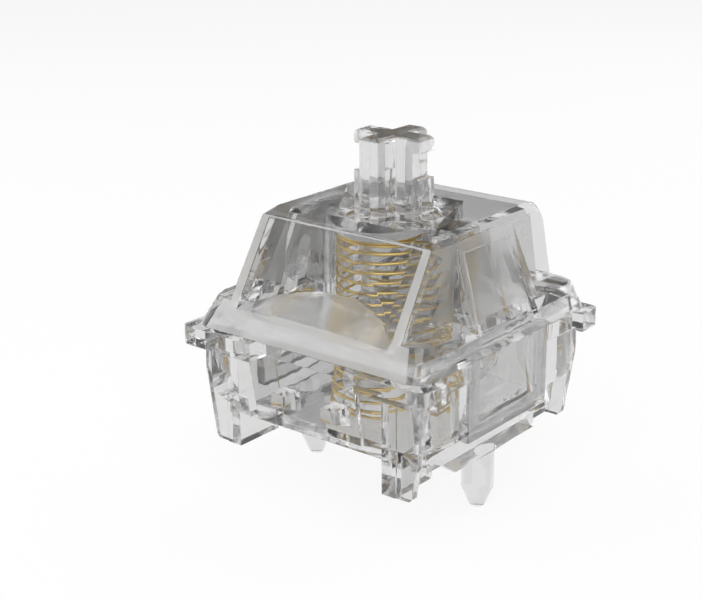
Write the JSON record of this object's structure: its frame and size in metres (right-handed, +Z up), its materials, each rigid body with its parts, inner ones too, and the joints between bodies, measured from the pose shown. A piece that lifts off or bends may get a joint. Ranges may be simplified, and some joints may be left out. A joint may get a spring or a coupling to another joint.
{
  "type": "mechanical keyboard switch",
  "caption": "Clear plate-mounted keyboard switch: latched two-part housing, cross-topped stem on a gold coil spring, plastic locating pins, no metal contacts.",
  "frame": {"origin": "on the switch's axis, in the plane of the plate's top face, which the flange's underside rests on", "axes": "+Z up through the keycap cross, -Y towards the face with the framed scoop, +X towards one latch loop"},
  "size_m": [0.0156, 0.0156, 0.0189],
  "materials": {
    "clear_housing": "clear polished polycarbonate",
    "clear_stem": "clear polished plastic",
    "gold_wire": "gold-plated drawn wire"
  },
  "bodies": {
    "housing": {"lower_housing": "clear_housing", "upper_housing": "clear_housing", "return_spring": "gold_wire"},
    "plunger": {"stem": "clear_stem"}
  },
  "joints": [
    {"name": "stem_press", "type": "slide", "parent": "housing", "child": "plunger", "axis": [0, 0, -1], "range_m": [0, 0.004], "stiffness_N_per_m": 70, "springref_m": -0.0045, "deforming": ["return_spring"]}
  ]
}
